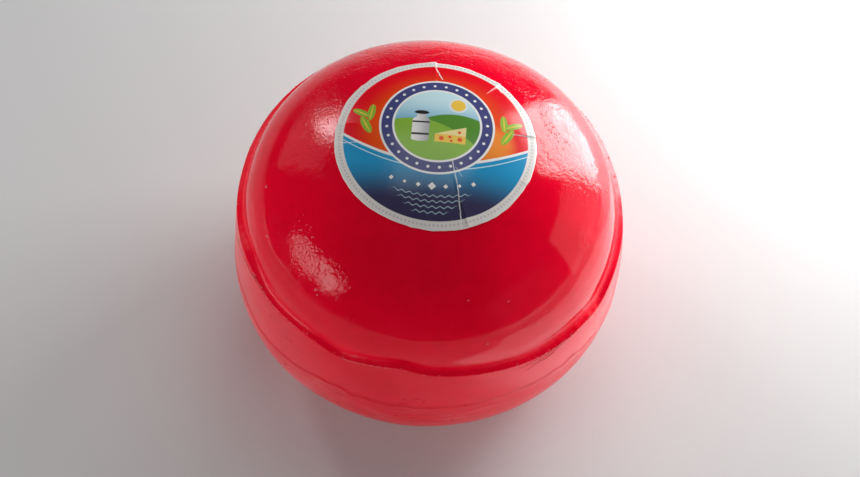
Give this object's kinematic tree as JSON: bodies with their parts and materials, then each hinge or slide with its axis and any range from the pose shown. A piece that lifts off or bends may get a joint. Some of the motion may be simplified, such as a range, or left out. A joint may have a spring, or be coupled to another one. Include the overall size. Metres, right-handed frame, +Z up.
{
  "type": "ball of cheese",
  "caption": "Whole ball of cheese in a glossy red wax rind, domed above a ledge and side band, flat small foot, round paper label on its crown.",
  "frame": {"origin": "middle of the flat foot, on the surface that the ball rests on", "axes": "+Z up through the crown, -Y towards the front that the label's design faces, +X to the right"},
  "size_m": [0.1524, 0.1476, 0.1224],
  "materials": {
    "red_wax": "smooth hand-dipped red paraffin wax, glossy on the dome, brushed and satin on the side band",
    "paper_label": "thin coated paper with printed fields of colour, lightly creased where it drapes over the crown"
  },
  "bodies": {
    "root": {"cheese": "red_wax", "label": "paper_label"}
  },
  "joints": []
}
